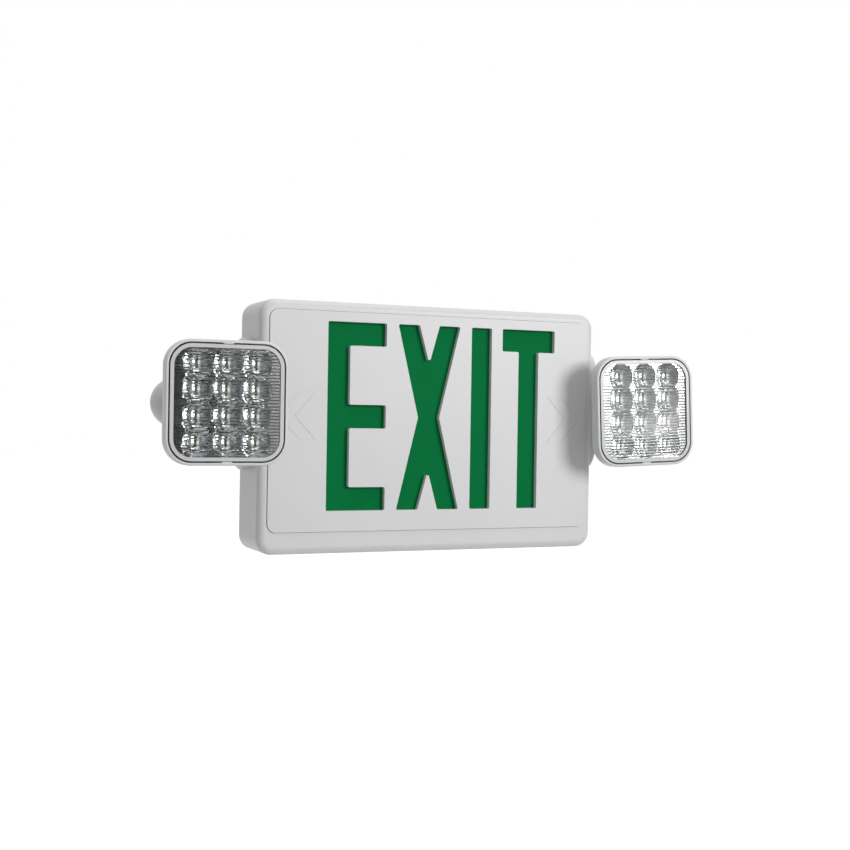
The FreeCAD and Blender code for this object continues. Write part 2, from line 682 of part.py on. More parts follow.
def lamp_base(name, side):
    """The raised obround on the cabinet's side that carries the arm."""
    item = body(f"lamp_base_{name}")
    straight = "base_height - base_width"
    start_x = SIDE_X if side > 0 else f"-({SIDE_X} + base_thickness)"
    low = (start_x, "-arm_back - base_width / 2", f"arm_rise - ({straight}) / 2")
    box(item, "Additive", ("base_thickness", "base_width", straight), low)
    for level in (-1, 1):
        start = (start_x, ARM_Y, f"arm_rise + {level} * ({straight}) / 2")
        cylinder(item, "Additive", "X", "base_width / 2", "base_thickness", start)

    def outer_rim(edge, whole):
        """The edge that runs round the side away from the cabinet."""
        outer = whole.BoundBox.XMax if side > 0 else whole.BoundBox.XMin
        return max(abs(edge.BoundBox.XMin - outer), abs(edge.BoundBox.XMax - outer)) < 0.01

    rounded(item, "base_round", outer_rim)
    along_x(item, "Subtractive", "spigot_radius + fit_gap", SIDE_X, f"{SIDE_X} + base_thickness", side)
    deep = "base_screw_length - cover_wall"
    hole_x = SIDE_X if side > 0 else f"-({SIDE_X} + {deep})"
    for level in (-1, 1):
        start = (hole_x, ARM_Y, f"arm_rise + {level} * base_screw_spacing / 2")
        cylinder(item, "Subtractive", "X", "screw_radius + collar_gap", deep, start)

    inside_x = f"({SIDE_X} - cover_wall)"
    for number, level in enumerate((-1, 1)):
        prefix = f"base_screw_{name}_{number}"
        rise = f"arm_rise + {level} * base_screw_spacing / 2"
        shank = doc.addObject("Part::Cylinder", f"{prefix}_shank")
        head = doc.addObject("Part::Cylinder", f"{prefix}_head")
        for part in (shank, head):
            part.Placement = FreeCAD.Placement(FreeCAD.Vector(), TURNS["X"])
        bind(shank, Radius="screw_radius", Height="base_screw_length - fit_gap")
        bind(head, Radius="screw_head_radius", Height="screw_head_height")
        shank_x = inside_x if side > 0 else f"-({inside_x} + base_screw_length - fit_gap)"
        head_x = f"{inside_x} - screw_head_height" if side > 0 else f"-{inside_x}"
        place(shank, shank_x, ARM_Y, rise)
        place(head, head_x, ARM_Y, rise)
        whole = doc.addObject("Part::MultiFuse", prefix)
        whole.Shapes = [shank, head]
    grouped(f"base_screws_{name}", f"base_screw_{name}_", 2)


def lamp_arm(name, side):
    """The round-ended arm that turns in the lamp base, its collar inside the cabinet, and the head's pin."""
    item = body(f"lamp_arm_{name}")
    arm_end = f"{SIDE_X} + arm_reach"
    tail = f"{SIDE_X} - cover_wall - fit_gap - collar_thickness - spigot_tail"
    along_x(item, "Additive", "arm_radius", ARM_START, arm_end, side)
    ball = item.newObject("PartDesign::AdditiveSphere", "Ball")
    bind(ball, Radius="arm_radius")
    place(ball, f"{side} * ({arm_end})", ARM_Y, "arm_rise")
    along_x(item, "Additive", "spigot_radius", tail, ARM_START, side)
    pivot_x = f"({side} * {PIVOT_X})"
    half_slot = "(tongue_height / 2 + slot_gap)"
    around = "knuckle_radius + slot_gap"
    start = (pivot_x, ARM_Y, f"arm_rise - {half_slot}")
    cylinder(item, "Subtractive", "Z", around, f"2 * {half_slot}", start)
    slot_x = f"{pivot_x} - ({around})" if side > 0 else f"{pivot_x} - slot_outward"
    low = (slot_x, "-arm_back - arm_radius", f"arm_rise - {half_slot}")
    box(item, "Subtractive", (f"{around} + slot_outward", "arm_radius", f"2 * {half_slot}"), low)
    along_x(item, "Subtractive", "wire_bore_radius", tail, PIVOT_X, side)
    start = (pivot_x, ARM_Y, "arm_rise - arm_radius")
    cylinder(item, "Subtractive", "Z", "pin_radius + collar_gap", "2 * arm_radius", start)

    collar = body(f"arm_collar_{name}")
    collar_end = f"{SIDE_X} - cover_wall - fit_gap"
    along_x(collar, "Additive", "collar_radius", f"{collar_end} - collar_thickness", collar_end, side)
    hole = "spigot_radius + collar_gap"
    along_x(collar, "Subtractive", hole, f"{collar_end} - collar_thickness", collar_end, side)

    pin = body(f"pivot_pin_{name}")
    start = (pivot_x, ARM_Y, "arm_rise - pin_length / 2")
    cylinder(pin, "Additive", "Z", "pin_radius", "pin_length", start)


def lamp_head(name, side):
    """The square head: shell with its neck, board with emitters, cupped reflector and clear front."""
    middle_x = f"({side} * {PIVOT_X})"

    lens = body(f"head_lens_{name}")
    inset = "(rim_wall + lens_gap)"
    width = f"head_width - 2 * {inset}"
    middle = (middle_x, LENS_FRONT_Y, "arm_rise")
    plate(lens, "Additive", (width, "rim_depth", width), middle, f"head_corner - {inset}")
    rounded(lens, "lens_round", on_front)
    width = f"{width} - 2 * lens_wall"
    middle = (middle_x, f"{LENS_FRONT_Y} + lens_wall", "arm_rise")
    corner = f"head_corner - {inset} - lens_wall"
    rounded_pocket(lens, (width, "rim_depth - lens_wall", width), middle, corner)

    shell = body(f"head_shell_{name}")
    floor_y = f"({SHELL_BACK_Y} - shell_wall)"
    rim_middle = (middle_x, LENS_FRONT_Y, "arm_rise")
    plate(shell, "Additive", ("head_width", "rim_depth", "head_width"), rim_middle, "head_corner")
    rounded(shell, "rim_round", on_front)
    for mode, back_y, step in (("Additive", SHELL_BACK_Y, None), ("Subtractive", floor_y, "shell_rim")):
        middle = (middle_x, back_y, "arm_rise")
        back = rounded_square(shell, middle, "shell_back_width", "shell_back_corner", step)
        middle = (middle_x, DISH_Y, "arm_rise")
        front = rounded_square(shell, middle, "head_width", "head_corner", step)
        dish = shell.newObject(f"PartDesign::{mode}Loft", "Dish")
        dish.Profile = back
        dish.Sections = [front]
        if mode == "Additive":
            rounded(shell, "shell_round", on_back)
    width = "head_width - 2 * rim_wall"
    rounded_pocket(shell, (width, "rim_depth", width), rim_middle, "head_corner - rim_wall")
    start = (middle_x, floor_y, "arm_rise")
    cone(shell, "Additive", "neck_root_radius", "neck_tip_radius", "neck_length", start)
    size = ("tongue_width", f"{ARM_Y} - {floor_y}", "tongue_height")
    centred_box(shell, "Additive", size, (middle_x, floor_y, "arm_rise"))
    low_z = "arm_rise - tongue_height / 2"
    cylinder(shell, "Additive", "Z", "knuckle_radius", "tongue_height", (middle_x, ARM_Y, low_z))
    cylinder(shell, "Subtractive", "Z", "pin_radius + pin_gap", "tongue_height", (middle_x, ARM_Y, low_z))
    board_back = f"({HEAD_BOARD_Y} + head_board_thickness)"
    for i in (-1, 1):
        for k in (-1, 1):
            spot = (f"{middle_x} + {i} * post_spread", board_back, f"arm_rise + {k} * post_spread")
            length = f"{floor_y} - {board_back} + shell_wall / 2"
            cylinder(shell, "Additive", "Y", "post_radius", length, spot)

    board = body(f"head_board_{name}")
    size = (f"{REFLECTOR_WIDTH} - 2 * head_board_margin", "head_board_thickness",
            f"{REFLECTOR_WIDTH} - 2 * head_board_margin")
    plate(board, "Additive", size, (middle_x, HEAD_BOARD_Y, "arm_rise"), REFLECTOR_CORNER)

    reflector = body(f"head_reflector_{name}")
    size = (REFLECTOR_WIDTH, "reflector_depth", REFLECTOR_WIDTH)
    plate(reflector, "Additive", size, (middle_x, REFLECTOR_Y, "arm_rise"), REFLECTOR_CORNER)
    mouth = ("cup_pitch_across - cup_ridge", "cup_pitch_up - cup_ridge")
    number = 0
    for column in range(CUP_COLUMNS):
        for row in range(CUP_ROWS):
            x = f"{middle_x} + ({column} - {(CUP_COLUMNS - 1) / 2}) * cup_pitch_across"
            z = f"arm_rise + ({row} - {(CUP_ROWS - 1) / 2}) * cup_pitch_up"
            cup(reflector, mouth, "cup_floor_width", "reflector_depth", (x, REFLECTOR_Y, z))
            half = "head_led_size / 2"
            low = (f"{x} - {half}", f"{HEAD_BOARD_Y} - head_led_height", f"{z} - {half}")
            led(f"head_led_{name}_{number}", ("head_led_size", "head_led_height", "head_led_size"), low)
            number += 1
    grouped(f"head_leds_{name}", f"head_led_{name}_", number)

    if name == "right":
        turn_head(name)


def turn_head(name):
    """Stands the head as it was left: swung inward on its pin, and rolled by the play in its slot."""
    for piece in ("head_lens", "head_shell", "head_board", "head_reflector", "head_leds"):
        nodes[f"{piece}_{name}"].Placement = head_turn()


def head_turn():
    doc.recompute()
    pivot_x = SIZES["cabinet_width"] / 2 + SIZES["pivot_reach"]
    pivot = FreeCAD.Vector(pivot_x, -SIZES["arm_back"], SIZES["arm_rise"])
    swing = FreeCAD.Rotation(Z_AXIS, -SIZES["right_head_swing"])
    roll = FreeCAD.Rotation(Y_AXIS, -SIZES["right_head_roll"])
    return FreeCAD.Placement(FreeCAD.Vector(), swing.multiply(roll), pivot)


front_cover()
back_plate()
face_plate()
legend_panel()
light_tray()
sign_strip()
driver()
battery()
test_controls()
for side_name, side_sign in SIDES.items():
    lamp_base(side_name, side_sign)
    lamp_arm(side_name, side_sign)
    lamp_head(side_name, side_sign)

doc.recompute()
for item in doc.Objects:
    if "Invalid" in item.State or "Error" in item.State:
        raise RuntimeError(f"{item.Name} of {item.Label} failed: {item.State}")
for name, item in nodes.items():
    if item.Shape.isNull() or not item.Shape.isValid():
        raise RuntimeError(f"{name} is not a sound shape")

os.makedirs("parts", exist_ok=True)
for name, item in nodes.items():
    item.Shape.exportStep(f"parts/{name}.step")
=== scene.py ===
import json
import math

import bpy
from mathutils import Matrix, Vector


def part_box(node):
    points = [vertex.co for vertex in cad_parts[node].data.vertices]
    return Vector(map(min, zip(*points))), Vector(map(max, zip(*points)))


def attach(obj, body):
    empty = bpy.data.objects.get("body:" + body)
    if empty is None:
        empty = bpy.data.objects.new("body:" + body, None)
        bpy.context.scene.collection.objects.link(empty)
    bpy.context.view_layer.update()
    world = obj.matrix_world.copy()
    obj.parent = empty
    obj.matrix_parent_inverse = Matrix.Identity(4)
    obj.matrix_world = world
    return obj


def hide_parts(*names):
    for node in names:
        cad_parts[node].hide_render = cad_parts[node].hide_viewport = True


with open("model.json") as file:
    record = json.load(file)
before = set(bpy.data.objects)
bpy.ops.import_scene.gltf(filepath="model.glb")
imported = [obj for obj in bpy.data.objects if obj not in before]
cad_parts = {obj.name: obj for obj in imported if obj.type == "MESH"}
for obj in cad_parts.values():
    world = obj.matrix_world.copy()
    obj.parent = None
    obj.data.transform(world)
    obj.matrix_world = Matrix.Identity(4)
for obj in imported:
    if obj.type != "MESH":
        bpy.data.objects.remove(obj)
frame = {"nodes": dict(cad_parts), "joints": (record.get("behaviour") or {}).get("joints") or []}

bl_info = {
    "name": "Emergency exit light",
    "version": (1, 0, 0),
    "blender": (4, 5, 0),
    "location": "View3D > Sidebar > Exit light",
    "description": "Gives the exit light its stencilled face, optics, finishes and studio",
    "category": "Object",
}

SIDES = {"left": -1, "right": 1}
CUP_COLUMNS = 3
CUP_ROWS = 4

# how far a cutting solid reaches past the surface that it cuts
REACH = 0.001


# sizes and colours that a user would change

def length(name, description, default):
    return bpy.props.FloatProperty(name=name, description=description, default=default, min=0.0,
                                   unit="LENGTH", subtype="DISTANCE", precision=5)


def angle(name, description, default):
    return bpy.props.FloatProperty(name=name, description=description, default=default, unit="ROTATION",
                                   subtype="ANGLE")


def colour(name, description, default):
    return bpy.props.FloatVectorProperty(name=name, description=description, default=default, size=3,
                                         min=0.0, max=1.0, subtype="COLOR")


class ExitLightSizes(bpy.types.PropertyGroup):
    """Sizes of what the scene adds to the construction"""
    letter_bottom: length("Letter bottom", "Depth of the letters below the middle of the cabinet", 0.0669)
    letter_top: length("Letter top", "Height of the letters above the middle of the cabinet", 0.0855)
    stroke: length("Stroke", "Width of the letters' strokes", 0.019)
    letter_corner: length("Letter corner", "Rounding of the letters' corners", 0.0012)
    plate_corner: length("Plate corner", "Rounding of the face plate's corners", 0.0075)
    plate_edge: length("Plate edge", "Rounding of the face plate's edges", 0.0003)
    score_width: length("Score width", "Width of the knock-out score lines", 0.0004)
    score_depth: length("Score depth", "Depth of the knock-out score lines", 0.0003)
    lens_corner: length("Lens corner", "Rounding of the lens seen from the front", 0.0175)
    lens_round: length("Lens rounding", "Rounding of the lens's front edge", 0.0012)
    lens_wall: length("Lens wall", "Thickness of the clear cover", 0.002)
    clear_border: length("Clear border", "Plain border round the ribs", 0.0018)
    band_inset: length("Band inset", "Distance of the frosted band from the cover's edge", 0.0009)
    band_depth: length("Band depth", "Thickness of the frosted band", 0.0003)
    band_gap: length("Band gap", "Play of the frosted band in its seat", 0.00005)
    rib_pitch: length("Rib pitch", "Distance between the ribs inside the clear cover", 0.0024)
    rib_height: length("Rib height", "How far the ribs stand out of the cover", 0.0008)
    cup_width: length("Cup width", "Distance between two cups across", 0.023)
    cup_height: length("Cup height", "Distance between two cups up", 0.0201)
    cup_radius: length("Cup radius", "Radius of each cup at its mouth", 0.0112)
    cup_reach: length("Cup reach", "Half height of each cup where it runs into the next", 0.0136)
    cup_depth: length("Cup depth", "Depth of each cup at its middle", 0.0068)
    cup_grid: length("Cup grid", "Width of the faces that the cups are shaped from", 0.0007)
    cup_plate_corner: length("Cup plate corner", "Rounding of the cup plate's corners", 0.0148)
    cup_plate_gap: length("Cup plate gap", "Distance of the cup plate from the back of its seat", 0.0001)
    tab_width: length("Tab width", "Width of the clips at the rim", 0.008)
    tab_height: length("Tab height", "Height of the clips at the rim", 0.0028)
    tab_inset: length("Tab inset", "Distance of the clips' middle from the head's edge", 0.0018)
    tab_gap: length("Tab gap", "How far the clips stand back from the rim", 0.0001)
    tab_depth: length("Tab depth", "Where the clips end behind the rim", 0.003)
    tab_corner: length("Tab corner", "Rounding of the clips' corners", 0.0006)
    tab_edge: length("Tab edge", "Rounding of the clips' edges", 0.0003)
    head_turn: angle("Head turn", "How far the right head was left swung on its pin", math.radians(-2))
    head_roll: angle("Head roll", "How far the right head was left rolled in its slot", math.radians(-2.5))


class ExitLightColours(bpy.types.PropertyGroup):
    """Base colour of each finish"""
    housing: colour("Housing", "Moulded cabinet, arms and lamp shells", (0.66, 0.66, 0.67))
    face: colour("Face plate", "Stencilled face plate", (0.66, 0.66, 0.67))
    legend: colour("Legend", "Green panel behind the letters", (0.002, 0.168, 0.045))
    tray: colour("Tray", "Light tray and connectors", (0.75, 0.75, 0.74))
    board: colour("Circuit board", "Driver and strip boards", (0.02, 0.16, 0.06))
    lamp_board: colour("Lamp board", "White boards in the lamp heads", (0.78, 0.78, 0.76))
    emitter: colour("Emitter", "Phosphor of the light emitters", (0.40, 0.37, 0.15))
    steel: colour("Steel", "Screws and pivot pins", (0.56, 0.57, 0.58))
    core: colour("Core", "Transformer core", (0.20, 0.20, 0.21))
    sleeve: colour("Sleeve", "Dark plastic parts", (0.025, 0.025, 0.028))
    wrap: colour("Battery wrap", "Shrink wrap on the cells", (0.03, 0.12, 0.42))
    indicator: colour("Indicator", "Indicator lens", (0.05, 0.45, 0.12))
    button: colour("Button", "Test button", (0.55, 0.03, 0.025))
    reflector: colour("Reflector", "Metallised cups", (0.86, 0.87, 0.88))
    lens: colour("Lens", "Clear lamp covers", (0.97, 0.98, 0.98))
    edge: colour("Cover edge", "Frosted band round the clear covers", (0.62, 0.63, 0.64))
    floor: colour("Floor", "Studio floor", (0.85, 0.85, 0.85))


# modelling helpers

def deselect():
    if bpy.context.object and bpy.context.object.mode != "OBJECT":
        bpy.ops.object.mode_set(mode="OBJECT")
    bpy.ops.object.select_all(action="DESELECT")


def activate(obj):
    deselect()
    obj.select_set(True)
    bpy.context.view_layer.objects.active = obj


def edit(obj, *steps):
    """Runs mesh operators on the whole of an object."""
    activate(obj)
    bpy.ops.object.mode_set(mode="EDIT")
    bpy.ops.mesh.select_all(action="SELECT")
    for step in steps:
        step()
    bpy.ops.object.mode_set(mode="OBJECT")


def outwards():
    bpy.ops.mesh.select_all(action="SELECT")
    bpy.ops.mesh.normals_make_consistent(inside=False)


def prism(name, points, low, high, axis="Y"):
    """A solid with this outline between two places on an axis: outline X, Z along Y, or Y, Z along X."""
    deselect()
    bpy.ops.mesh.primitive_circle_add(vertices=len(points), fill_type="NGON", location=(0, 0, 0))
    obj = bpy.context.object
    obj.name = obj.data.name = name
    for vertex, (across, up) in zip(obj.data.vertices, points):
        vertex.co = (across, low, up) if axis == "Y" else (low, across, up)
    move = (0, high - low, 0) if axis == "Y" else (high - low, 0, 0)
    edit(obj, lambda: bpy.ops.mesh.extrude_region_move(TRANSFORM_OT_translate={"value": move}), outwards)
    return obj


def rounded(points, radius, steps=5):
    """The same outline with every corner turned into an arc."""
    result = []
    for i, point in enumerate(points):
        here = Vector(point)
        back = (Vector(points[i - 1]) - here).normalized()
        ahead = (Vector(points[(i + 1) % len(points)]) - here).normalized()
        half = back.angle(ahead) / 2
        centre = here + (back + ahead).normalized() * radius / math.sin(half)
        reach = radius / math.tan(half)
        start, end = here + back * reach - centre, here + ahead * reach - centre
        for k in range(steps + 1):
            spoke = start.lerp(end, k / steps).normalized() * radius
            result.append(tuple(centre + spoke))
    return result


def rectangle(x_low, x_high, z_low, z_high):
    return [(x_low, z_low), (x_high, z_low), (x_high, z_high), (x_low, z_high)]


def widened(points, distance):
    """The same outline moved outwards, with mitred corners; a negative distance moves it inwards."""
    area = sum(a[0] * b[1] - b[0] * a[1] for a, b in zip(points, points[1:] + points[:1]))
    turn = 1 if area > 0 else -1
    result = []
    for i, point in enumerate(points):
        here = Vector(point)
        came = (here - Vector(points[i - 1])).normalized()
        goes = (Vector(points[(i + 1) % len(points)]) - here).normalized()
        out_a = Vector((came.y, -came.x)) * turn
        out_b = Vector((goes.y, -goes.x)) * turn
        mitre = (out_a + out_b).normalized()
        result.append(tuple(here + mitre * distance / max(mitre.dot(out_a), 0.2)))
    return result


def combine(obj, tool, operation="DIFFERENCE"):
    """Cuts, joins or intersects with a second solid, which is used up."""
    activate(obj)
    step = obj.modifiers.new("Combine", "BOOLEAN")
    step.operation = operation
    step.solver = "EXACT"
    step.object = tool
    bpy.ops.object.modifier_apply(modifier=step.name)
    bpy.data.objects.remove(tool, do_unlink=True)
    return obj


def soften(obj, width, segments=2, limit=60):
    """Rounds the sharp edges of a solid."""
    activate(obj)
    step = obj.modifiers.new("Soften", "BEVEL")
    step.width = width
    step.segments = segments
    step.limit_method = "ANGLE"
    step.angle_limit = math.radians(limit)
    bpy.ops.object.modifier_apply(modifier=step.name)


def round_rim(obj, depth, width, segments):
    """Rounds the edges that lie in the plane at this depth."""
    deselect()
    mesh = obj.data
    for face in mesh.polygons:
        face.select = False
    for vertex in mesh.vertices:
        vertex.select = False
    for edge in mesh.edges:
        edge.select = all(abs(mesh.vertices[v].co.y - depth) < 1e-6 for v in edge.vertices)
    activate(obj)
    bpy.ops.object.mode_set(mode="EDIT")
    bpy.ops.mesh.select_mode(type="EDGE")
    bpy.ops.mesh.bevel(offset=width, segments=segments, affect="EDGES")
    outwards()
    bpy.ops.object.mode_set(mode="OBJECT")


def smooth(obj, angle=35):
    """Smooths the shading over the gentle edges and keeps the large flat faces flat."""
    activate(obj)
    bpy.ops.object.shade_smooth_by_angle(angle=math.radians(angle))
    step = obj.modifiers.new("Flat", "WEIGHTED_NORMAL")
    step.keep_sharp = True
    bpy.ops.object.modifier_apply(modifier=step.name)


def joined(objs, name):
    activate(objs[0])
    for obj in objs:
        obj.select_set(True)
    bpy.ops.object.join()
    result = bpy.context.object
    result.name = result.data.name = name
    return result


def dress(obj, body, finish):
    """Gives a finished piece its body and its finish."""
    obj.data.materials.clear()
    obj.data.materials.append(finish)
    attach(obj, body)


# where the lamp heads stand

def middle_of(node):
    low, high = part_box(node)
    return (low + high) / 2


def head_middle(side):
    """Middle of a lamp head before it is turned: its pin is the same distance out on both sides."""
    middle = middle_of("head_lens_left")
    return Vector((abs(middle.x) * SIDES[side], middle.y, middle.z))


def set_down(obj, side):
    """The right head was left swung a little inward on its pin and rolled in its slot."""
    if side == "left":
        return
    s = bpy.context.scene.exit_light_sizes
    joint = next(j for j in frame["joints"] if j["name"] == "head_swing_right")
    pin = Vector(joint["pos_m"])
    turn = Matrix.Rotation(s.head_turn, 4, "Z") @ Matrix.Rotation(s.head_roll, 4, "Y")
    obj.matrix_world = Matrix.Translation(pin) @ turn @ Matrix.Translation(-pin)
    activate(obj)
    bpy.ops.object.transform_apply(location=True, rotation=True, scale=True)


# finishes

class Tree:
    """Lays the nodes of a material or world out in a readable order."""

    def __init__(self, owner):
        owner.use_nodes = True
        self.tree = owner.node_tree
        self.tree.nodes.clear()
        self.column = 0

    def add(self, kind, **values):
        node = self.tree.nodes.new(kind)
        node.location = (self.column, 0)
        self.column += 180
        for key, value in values.items():
            setattr(node, key, value)
        return node

    def link(self, source, target):
        self.tree.links.new(source, target)

    def noise(self, where, scale, detail=3.0, stretch=None):
        if stretch:
            mapping = self.add("ShaderNodeMapping")
            mapping.inputs["Scale"].default_value = stretch
            self.link(where, mapping.inputs["Vector"])
            where = mapping.outputs["Vector"]
        node = self.add("ShaderNodeTexNoise")
        node.inputs["Scale"].default_value = scale
        node.inputs["Detail"].default_value = detail
        self.link(where, node.inputs["Vector"])
        return node.outputs["Fac"]

    def ranged(self, value, low, high, start=0.3, stop=0.7):
        """A value that runs from start to stop, set to run from low to high."""
        node = self.add("ShaderNodeMapRange")
        for socket, item in (("From Min", start), ("From Max", stop), ("To Min", low), ("To Max", high)):
            node.inputs[socket].default_value = item
        self.link(value, node.inputs["Value"])
        return node.outputs["Result"]

    def mixed(self, value, first, second):
        node = self.add("ShaderNodeMix", data_type="RGBA")
        self.link(value, node.inputs["Factor"])
        for socket, item in (("A", first), ("B", second)):
            target = next(s for s in node.inputs if s.name == socket and s.type == "RGBA")
            if isinstance(item, bpy.types.NodeSocket):
                self.link(item, target)
            else:
                target.default_value = (*item, 1)
        return next(s for s in node.outputs if s.type == "RGBA")

    def ramp(self, value, stops):
        """Grey levels along a value, given as place and level; the places run from 0 to 1."""
        node = self.add("ShaderNodeValToRGB")
        elements = node.color_ramp.elements
        while len(elements) < len(stops):
            elements.new(0.5)
        for element, (place, level) in zip(elements, stops):
            element.position = place
            element.color = (level, level, level, 1)
        self.link(value, node.inputs["Fac"])
        return node.outputs["Color"]

    def figure(self, operation, *items):
        """The result of a sum on values and numbers."""
        node = self.add("ShaderNodeMath", operation=operation)
        for socket, item in zip(node.inputs, items):
            if isinstance(item, bpy.types.NodeSocket):
                self.link(item, socket)
            else:
                socket.default_value = item
        return node.outputs["Value"]

    def bumped(self, value, distance):
        node = self.add("ShaderNodeBump")
        node.inputs["Distance"].default_value = distance
        self.link(value, node.inputs["Height"])
        return node.outputs["Normal"]

    def surface(self, shade, roughness, normal, **values):
        """The shader at the end of a finish; the values name its own sockets."""
        node = self.add("ShaderNodeBsdfPrincipled")
        self.link(shade, node.inputs["Base Color"])
        self.link(roughness, node.inputs["Roughness"])
        self.link(normal, node.inputs["Normal"])
        for name, value in values.items():
            node.inputs[name.replace("_", " ")].default_value = value
        self.end("Material", node.outputs["BSDF"])

    def end(self, kind, shader):
        output = self.add(f"ShaderNodeOutput{kind}")
        self.link(shader, output.inputs["Surface"])


def scaled(tint, factor):
    return tuple(min(1.0, c * factor) for c in tint)


def started(name):
    """A new material, its tree, and the place on the object that its pattern is laid on."""
    material = bpy.data.materials.new(name)
    tree = Tree(material)
    return material, tree, tree.add("ShaderNodeTexCoord").outputs["Object"]


def finish(name, tint, roughness, spread=0.04, grain=900.0, bump=0.00002, metal=0.0, stretch=None,
           coat=0.0, contrast=0.03, gloss=0.5):
    """A mottled, slightly rough surface with a fine grain."""
    material, tree, where = started(name)
    broad = tree.noise(where, 28.0, 2.0)
    fine = tree.noise(where, grain, 4.0, stretch)
    shade = tree.mixed(broad, scaled(tint, 1 - contrast), scaled(tint, 1 + contrast))
    rough = tree.ranged(fine, max(roughness - spread, 0.02), roughness + spread)
    tree.surface(shade, rough, tree.bumped(fine, bump), Metallic=metal, Specular_IOR_Level=gloss,
                 Coat_Weight=coat)
    return material


def board_finish(name, tint):
    """Solder mask with copper tracks under it."""
    material, tree, where = started(name)
    turn = tree.add("ShaderNodeMapping")
    turn.inputs["Rotation"].default_value = (math.pi / 2, 0, 0)
    tree.link(where, turn.inputs["Vector"])
    tracks = tree.add("ShaderNodeTexBrick")
    tracks.inputs["Scale"].default_value = 90.0
    tracks.inputs["Mortar Size"].default_value = 0.035
    for socket, level in (("Color1", 0), ("Color2", 0.15), ("Mortar", 1)):
        tracks.inputs[socket].default_value = (level, level, level, 1)
    tree.link(turn.outputs["Vector"], tracks.inputs["Vector"])
    grain = tree.noise(where, 700.0)
    shade = tree.mixed(tracks.outputs["Color"], tint, scaled(tint, 1.9))
    tree.surface(shade, tree.ranged(grain, 0.22, 0.38), tree.bumped(tracks.outputs["Fac"], 0.00003),
                 Coat_Weight=0.4)
    return material


def banded_finish(name, tint, second, scale, roughness, direction="X"):
    """Shrink wrap or windings, with soft bands and a gloss."""
    material, tree, where = started(name)
    bands = tree.add("ShaderNodeTexWave", bands_direction=direction)
    bands.inputs["Scale"].default_value = scale
    bands.inputs["Distortion"].default_value = 0.4
    tree.link(where, bands.inputs["Vector"])
    grain = tree.noise(where, 500.0)
    shade = tree.mixed(bands.outputs["Fac"], tint, second)
    tree.surface(shade, tree.ranged(grain, roughness - 0.05, roughness + 0.08),
                 tree.bumped(bands.outputs["Fac"], 0.00006), Coat_Weight=0.3)
    return material


def emitter_finish(name, tint):
    """Phosphor grains under clear silicone."""
    material, tree, where = started(name)
    cells = tree.add("ShaderNodeTexVoronoi")
    cells.inputs["Scale"].default_value = 900.0
    tree.link(where, cells.inputs["Vector"])
    grain = cells.outputs["Distance"]
    shade = tree.mixed(grain, scaled(tint, 1.1), scaled(tint, 0.8))
    tree.surface(shade, tree.ranged(grain, 0.18, 0.3), tree.bumped(grain, 0.00003), Coat_Weight=0.8)
    return material


def clear_finish(name, tint):
    """Clear moulded plastic that bends the light behind it."""
    material, tree, where = started(name)
    grain = tree.noise(where, 60.0, 2.0)
    tree.surface(tree.mixed(grain, scaled(tint, 0.99), tint), tree.ranged(grain, 0.01, 0.03),
                 tree.bumped(grain, 0.00003), Transmission_Weight=1.0, IOR=1.49)
    return material


FINISHES = {}


def make_finishes(c):
    FINISHES.update({
        "housing_white": finish("housing_white", c.housing, 0.42, grain=1400.0, bump=0.000012),
        "face_white": finish("face_white", c.face, 0.40, grain=1600.0, bump=0.00001),
        "legend_green": finish("legend_green", c.legend, 0.55, grain=1100.0, contrast=0.06, gloss=0.02),
        "tray_white": finish("tray_white", c.tray, 0.5),
        "board_green": board_finish("board_green", c.board),
        "head_board_white": finish("head_board_white", c.lamp_board, 0.35, coat=0.3),
        "emitter_yellow": emitter_finish("emitter_yellow", c.emitter),
        "fixing_steel": finish("fixing_steel", c.steel, 0.28, metal=1.0, stretch=(1, 1, 14), contrast=0.08),
        "core_steel": banded_finish("core_steel", c.core, scaled(c.core, 1.5), 260.0, 0.4, "X"),
        "sleeve_black": finish("sleeve_black", c.sleeve, 0.45, contrast=0.15),
        "wrap_blue": banded_finish("wrap_blue", c.wrap, scaled(c.wrap, 1.25), 40.0, 0.2, "Z"),
        "indicator_green": finish("indicator_green", c.indicator, 0.12, coat=0.8, contrast=0.1),
        "button_red": finish("button_red", c.button, 0.35, grain=1500.0, contrast=0.06),
        "reflector_bright": finish("reflector_bright", c.reflector, 0.10, spread=0.03, grain=500.0,
                                   bump=0.000006, metal=1.0, contrast=0.02),
        "lens_clear": clear_finish("lens_clear", c.lens),
        "clear_edge": finish("clear_edge", c.edge, 0.2, grain=300.0, bump=0.00004, coat=0.5, contrast=0.12),
    })


# face plate

